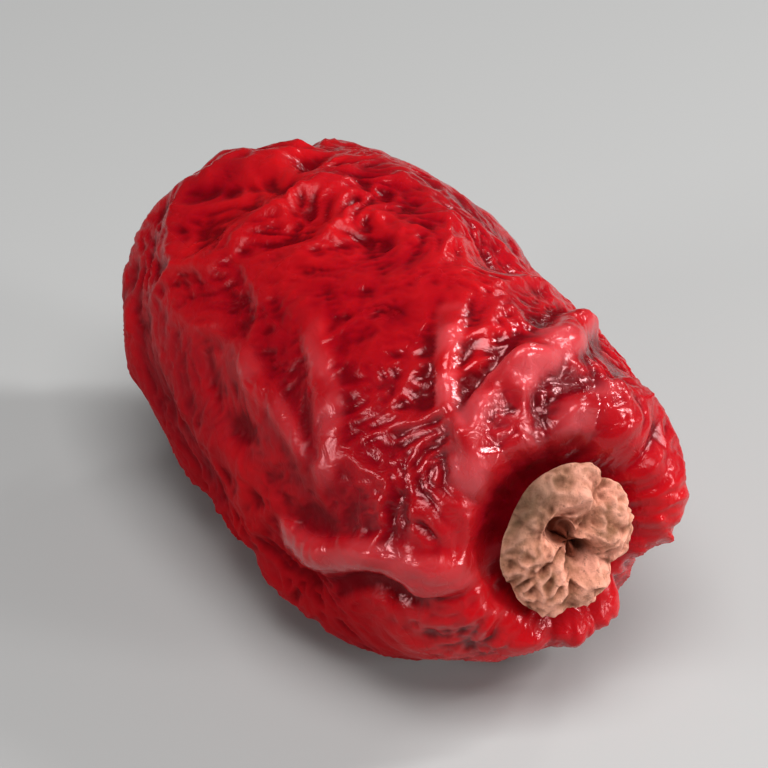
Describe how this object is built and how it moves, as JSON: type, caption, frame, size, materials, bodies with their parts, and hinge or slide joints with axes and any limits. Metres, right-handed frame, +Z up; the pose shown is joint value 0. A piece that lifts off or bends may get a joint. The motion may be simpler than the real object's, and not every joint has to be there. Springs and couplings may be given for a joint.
{
  "type": "dried barberry",
  "caption": "Dried barberry: an oblong berry in wrinkled glossy red skin, with a corky tan stigma disc at its tip and a short stalk stub, lying on a small flat spot.",
  "frame": {"origin": "bottom centre of the whole berry's box, on the surface that it lies on", "axes": "+X along the berry from its stalk to its stigma disc, +Z up from the flat spot that it lies on, +Y across it"},
  "size_m": [0.0092, 0.005, 0.0049],
  "materials": {
    "skin": "dried fruit skin, wrinkled, glossy on its folds, slightly translucent",
    "stigma": "dry corky tissue, lumpy and matt, with a dark pit",
    "stalk": "dry fibrous stalk, matt, broken end"
  },
  "bodies": {
    "root": {"berry_body": "skin", "stigma_disc": "stigma", "stalk_stub": "stalk"}
  },
  "joints": []
}
